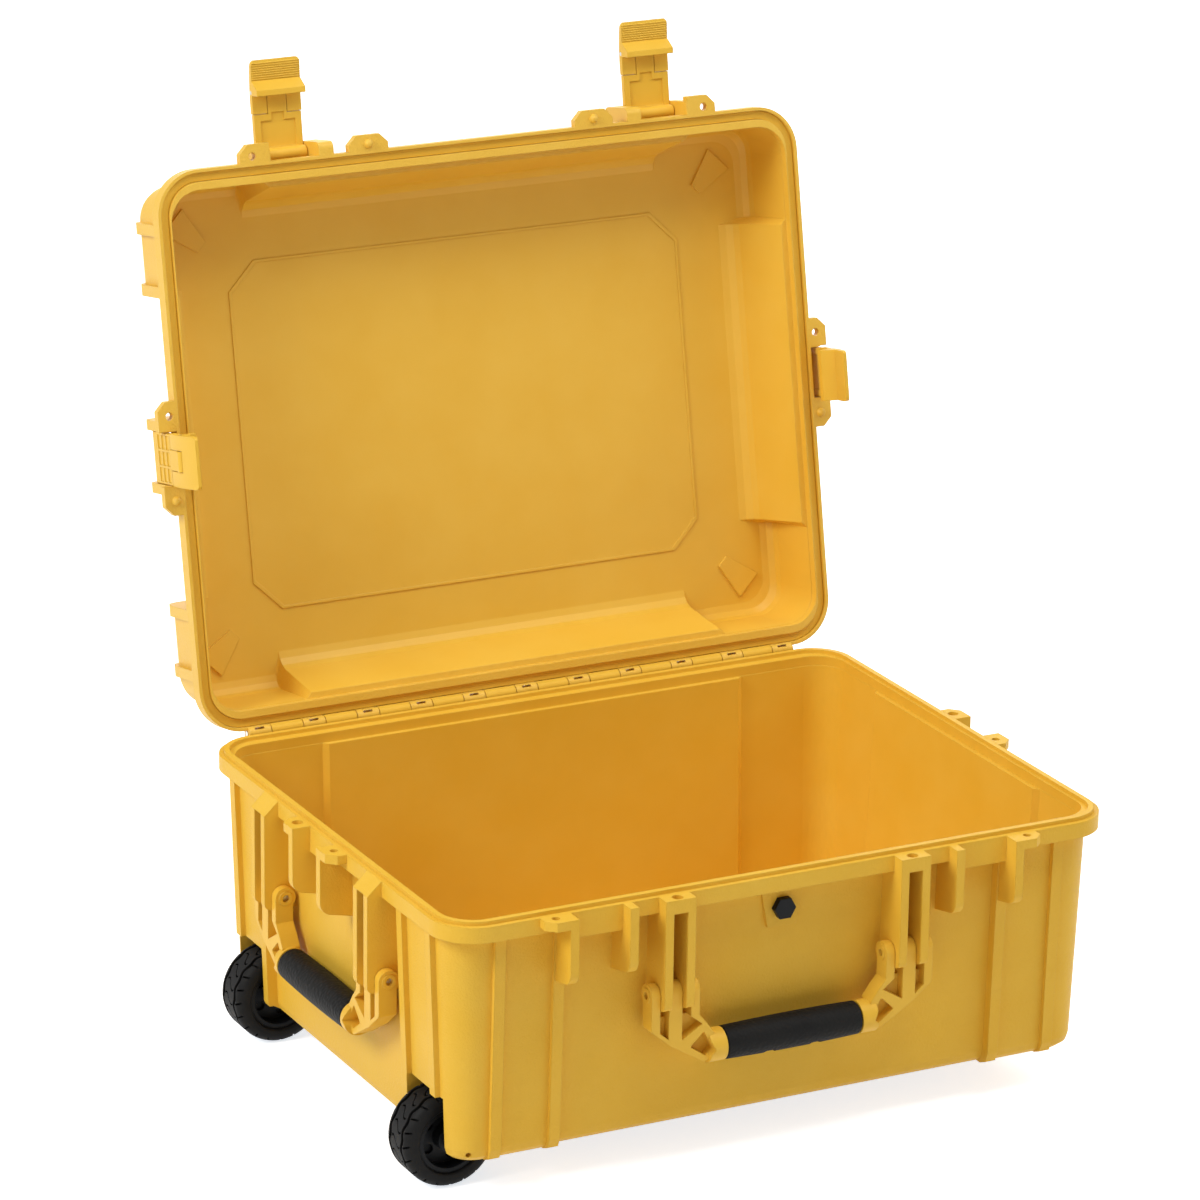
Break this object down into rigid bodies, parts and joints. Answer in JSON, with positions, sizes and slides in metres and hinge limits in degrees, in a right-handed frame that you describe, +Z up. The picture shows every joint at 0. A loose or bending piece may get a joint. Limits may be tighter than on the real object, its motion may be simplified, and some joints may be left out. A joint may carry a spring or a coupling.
{
  "type": "wheeled protective case",
  "caption": "Yellow moulded case with an open hinged lid, double-throw latches, folding carry handles, corner wheels and a pull handle under its floor.",
  "frame": {"origin": "centre of the flat underside of the base; the wheels reach below it", "axes": "+X along the long side, away from the wheels; +Y from the latches at the front to the hinge; +Z up"},
  "size_m": [0.6628, 0.681, 0.8229],
  "materials": {
    "yellow_plastic": "fine moulded grain",
    "yellow_seal": "soft, matt",
    "black_rubber": "leathery grain",
    "black_tyre": "moulded, matt",
    "black_plastic": "satin",
    "steel": "drawn bar",
    "grey_aluminium": "anodised"
  },
  "bodies": {
    "case": {"base_shell": "yellow_plastic", "hinge_pin": "steel", "valve_body": "black_plastic", "valve_washer": "black_rubber", "valve_nut": "black_plastic", "front_handle_pins": "steel", "left_handle_pins": "steel", "right_handle_pins": "steel", "front_wheel_axle": "steel", "rear_wheel_axle": "steel", "front_pull_sleeve": "grey_aluminium", "rear_pull_sleeve": "grey_aluminium", "front_channel_cover": "yellow_plastic", "rear_channel_cover": "yellow_plastic", "cover_screws": "steel"},
    "lid": {"lid_shell": "yellow_plastic", "lid_seal": "yellow_seal", "front_left_latch_arm_pin": "steel", "front_right_latch_arm_pin": "steel", "left_latch_arm_pin": "steel", "right_latch_arm_pin": "steel"},
    "front_left_arm": {"front_left_latch_arm": "yellow_plastic", "front_left_latch_lever_pin": "steel"},
    "front_left_lever": {"front_left_latch_lever": "yellow_plastic"},
    "front_right_arm": {"front_right_latch_arm": "yellow_plastic", "front_right_latch_lever_pin": "steel"},
    "front_right_lever": {"front_right_latch_lever": "yellow_plastic"},
    "left_arm": {"left_latch_arm": "yellow_plastic", "left_latch_lever_pin": "steel"},
    "left_lever": {"left_latch_lever": "yellow_plastic"},
    "right_arm": {"right_latch_arm": "yellow_plastic", "right_latch_lever_pin": "steel"},
    "right_lever": {"right_latch_lever": "yellow_plastic"},
    "front_handle": {"front_handle_frame": "yellow_plastic", "front_handle_grip": "black_rubber"},
    "left_handle": {"left_handle_frame": "yellow_plastic", "left_handle_grip": "black_rubber"},
    "right_handle": {"right_handle_frame": "yellow_plastic", "right_handle_grip": "black_rubber"},
    "front_wheel": {"front_wheel_tyre": "black_tyre", "front_wheel_hub": "black_plastic", "front_wheel_bushes": "black_plastic"},
    "rear_wheel": {"rear_wheel_tyre": "black_tyre", "rear_wheel_hub": "black_plastic", "rear_wheel_bushes": "black_plastic"},
    "pull_handle": {"pull_grip": "yellow_plastic", "front_pull_tube": "grey_aluminium", "rear_pull_tube": "grey_aluminium", "pull_tube_bushes": "black_plastic"}
  },
  "joints": [
    {"name": "lid_hinge", "type": "hinge", "parent": "case", "child": "lid", "pos_m": [0, 0.2505, 0.2204], "axis": [-1, 0, 0], "range_deg": [-101, 0]},
    {"name": "front_left_arm_hinge", "type": "hinge", "parent": "lid", "child": "front_left_arm", "pos_m": [-0.182, 0.3727, 0.70702], "axis": [-1, 0, 0], "range_deg": [-88, 22]},
    {"name": "front_left_lever_hinge", "type": "hinge", "parent": "front_left_arm", "child": "front_left_lever", "pos_m": [-0.182, 0.38632, 0.76106], "axis": [-1, 0, 0], "range_deg": [0, 90]},
    {"name": "front_right_arm_hinge", "type": "hinge", "parent": "lid", "child": "front_right_arm", "pos_m": [0.182, 0.3727, 0.70702], "axis": [-1, 0, 0], "range_deg": [-88, 22]},
    {"name": "front_right_lever_hinge", "type": "hinge", "parent": "front_right_arm", "child": "front_right_lever", "pos_m": [0.182, 0.38632, 0.76106], "axis": [-1, 0, 0], "range_deg": [0, 90]},
    {"name": "left_arm_hinge", "type": "hinge", "parent": "lid", "child": "left_arm", "pos_m": [-0.318, 0.3249, 0.46113], "axis": [0, -0.1908, -0.9816], "range_deg": [0, 110]},
    {"name": "left_lever_hinge", "type": "hinge", "parent": "left_arm", "child": "left_lever", "pos_m": [-0.323, 0.27042, 0.47172], "axis": [0, -0.1908, -0.9816], "range_deg": [0, 90]},
    {"name": "right_arm_hinge", "type": "hinge", "parent": "lid", "child": "right_arm", "pos_m": [0.318, 0.3249, 0.46113], "axis": [0, 0.1908, 0.9816], "range_deg": [0, 110]},
    {"name": "right_lever_hinge", "type": "hinge", "parent": "right_arm", "child": "right_lever", "pos_m": [0.323, 0.27042, 0.47172], "axis": [0, 0.1908, 0.9816], "range_deg": [0, 90]},
    {"name": "front_handle_hinge", "type": "hinge", "parent": "case", "child": "front_handle", "pos_m": [0, -0.2445, 0.1316], "axis": [-1, 0, 0], "range_deg": [0, 100]},
    {"name": "left_handle_hinge", "type": "hinge", "parent": "case", "child": "left_handle", "pos_m": [-0.312, 0, 0.1316], "axis": [0, 1, 0], "range_deg": [0, 100]},
    {"name": "right_handle_hinge", "type": "hinge", "parent": "case", "child": "right_handle", "pos_m": [0.312, 0, 0.1316], "axis": [0, -1, 0], "range_deg": [0, 100]},
    {"name": "front_wheel_spin", "type": "hinge", "parent": "case", "child": "front_wheel", "pos_m": [-0.285, -0.171, 0.009], "axis": [0, 1, 0], "continuous": true},
    {"name": "rear_wheel_spin", "type": "hinge", "parent": "case", "child": "rear_wheel", "pos_m": [-0.285, 0.171, 0.009], "axis": [0, 1, 0], "continuous": true},
    {"name": "pull_handle_slide", "type": "slide", "parent": "case", "child": "pull_handle", "axis": [1, 0, 0], "range_m": [0, 0.32]}
  ]
}
